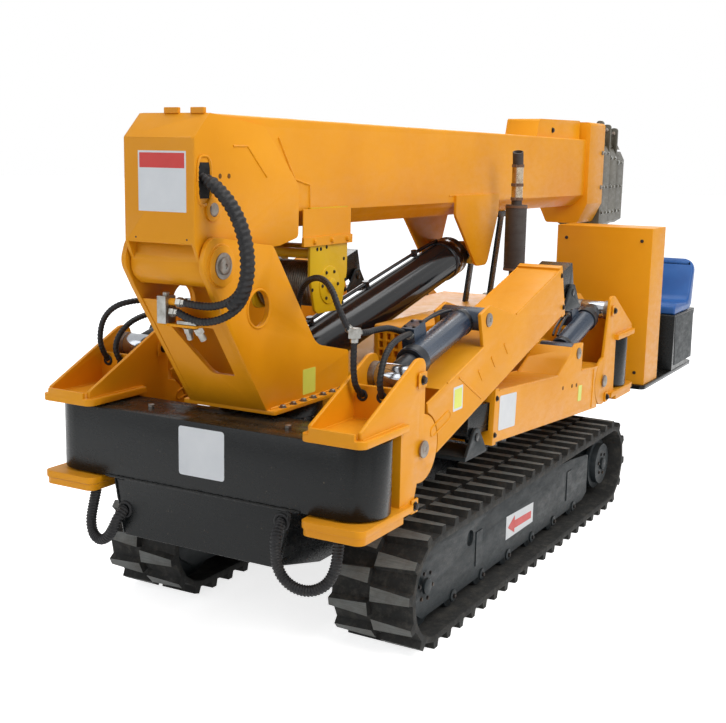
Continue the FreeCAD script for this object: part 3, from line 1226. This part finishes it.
def hose_path(points):
    """Straight runs joined by tangent arcs, and the tightest arc's radius."""
    spots = [V(*p) for p in points]
    edges = []
    start = spots[0]
    tightest = 1e9
    for i in range(1, len(spots) - 1):
        back, ahead = spots[i - 1] - spots[i], spots[i + 1] - spots[i]
        reach = ARC_SHARE * min(back.Length, ahead.Length)
        back.normalize()
        ahead.normalize()
        half = back.getAngle(ahead) / 2
        radius = reach * math.tan(half)
        tightest = min(tightest, radius)
        first, last = spots[i] + back * reach, spots[i] + ahead * reach
        middle = (back + ahead).normalize() * (radius / math.sin(half) - radius)
        edges.append(Part.LineSegment(start, first).toShape())
        edges.append(Part.Arc(first, spots[i] + middle, last).toShape())
        start = last
    edges.append(Part.LineSegment(start, spots[-1]).toShape())
    return Part.Wire(edges), tightest


def hose(name):
    """A round tube along the hose's route."""
    radius, points = HOSES[name]
    path, tightest = hose_path(points)
    start, ahead = V(*points[0]), V(*points[1]) - V(*points[0])
    ring = Part.Wire([Part.makeCircle(radius, start, ahead)])
    tube = path.makePipeShell([ring], True, False)
    share = tube.Volume / (math.pi * radius ** 2 * path.Length)
    print(f"{name:20s} length {path.Length:7.1f} tightest arc {tightest:6.1f} volume share {share:.4f}")
    return tube


def hoses():
    made = {name: hose(name) for name in HOSES}
    web = FRONT_SWIVEL_X - WEB_A
    for side in SIDES:
        for name in (f"drop_hose_{side}", f"valve_hose_{side}"):
            made[name] = made[name].cut(block(web - 100, web, -900, 900, PLATE_HIGH_TOP, PLATE_HIGH_TOP + 110))
    floor = PLATE_LOW_TOP - 2 * PLATE_THICK - SEAT_GAP
    nose = FRONT_SWIVEL_X + BEAM_RADIUS
    doubler = BOOM_HALF + DOUBLER + SEAT_GAP
    for name in ("swivel_hose_left", "swivel_hose_right"):
        made[name] = made[name].cut(block(nose - 200, nose + 200, -900, 900, floor, floor + 100).cut(
            block(nose, nose + 200, -430, 430, floor, floor + 100)))
        made[name] = made[name].cut(block(nose - 100, nose, -360, 360, NOSE_BOTTOM, CHASSIS_TOP))
    for name in ("boom_hose_upper", "boom_hose_lower"):
        made[name] = made[name].cut(block(PIVOT_X - 50, PIVOT_X + 95, 0, doubler, BOOM_BOTTOM, BOOM_TOP))
    made["boom_hose_upper"] = made["boom_hose_upper"].cut(block(2150, 2230, 0, 66, 1230, 1290))
    made["boom_hose_lower"] = made["boom_hose_lower"].cut(block(2150, 2230, 0, 40, 1200, 1250))
    x1, y1, low = TEE_X0 + TEE_LONG, TEE_Y0 + TEE_LONG, TEE_TOP - TEE_HIGH
    tee = block(TEE_X0, x1, TEE_Y0, y1, low, TEE_TOP)
    room = block(TEE_X0 - 1, x1 + 1, TEE_Y0 - 1, y1 + 1, low - 50, TEE_TOP + 1)
    made["loop_hose"] = made["loop_hose"].cut(room)
    made["loop_hose"] = made["loop_hose"].cut(block(1580, 1640, 100, 140, 1100, RISER_TOP + SEAT_GAP))
    made["branch_hose_left"] = made["branch_hose_left"].cut(tee)
    made["drop_hose_left"] = Part.makeCompound([made["drop_hose_left"].cut(tee), tee])
    return made


def corner_parts():
    made = {}
    makers = {"bracket": bracket, "arm": arm, "leg": leg, "foot": foot,
              "ram_barrel": ram_barrel, "ram_rod": ram_rod}
    for end in ENDS:
        for name, maker in makers.items():
            shape = maker(end)
            for side in SIDES:
                made[f"{name}_{end}_{side}"] = corner_place(shape, end, side)
    return made


def track_parts():
    made = {}
    shapes = {"tracks": [track()], "track_frames": [track_frame()], "track_wheels": [idler(), sprocket()]}
    for name, pieces in shapes.items():
        made[name] = Part.makeCompound(pieces + [mirror_y(piece) for piece in pieces])
    return made


def all_parts():
    parts = {
        "main_frame": main_frame(),
        "cross_beams": Part.makeCompound([cross_beam(end) for end in ENDS]),
        "slew_ring": slew_ring(),
        "hood": hood(),
        "side_cover": side_cover(),
        "exhaust": exhaust(),
        "console": console(),
        "platform": platform(),
        "seat_base": seat_base(),
        "seat": seat(),
        "oil_tank": oil_tank(),
        "engine": engine(),
        "boom_rest": boom_rest(),
        "turret": turret(),
        "luff_barrel": luff_barrel(),
        "luff_rod": luff_rod(),
        "boom_base": boom_base(),
        "winch_frame": winch_frame(),
        "winch_drum": winch_drum(),
        "hook_block": hook_block(),
    }
    for index in range(2, SECTION_COUNT + 1):
        parts[f"boom_section_{index}"] = boom_section(index)
    parts.update(track_parts())
    parts.update(corner_parts())
    parts.update(hoses())
    return parts


def main():
    os.makedirs("parts", exist_ok=True)
    for name, shape in all_parts().items():
        shape.exportStep(os.path.join("parts", name + ".step"))
        box = shape.BoundBox
        print(f"{name:24s} solids {len(shape.Solids)} valid {shape.isValid()} vol {shape.Volume/1e6:9.2f} l"
              f"  x {box.XMin:8.1f} {box.XMax:8.1f}  y {box.YMin:7.1f} {box.YMax:7.1f}"
              f"  z {box.ZMin:7.1f} {box.ZMax:7.1f}")


main()
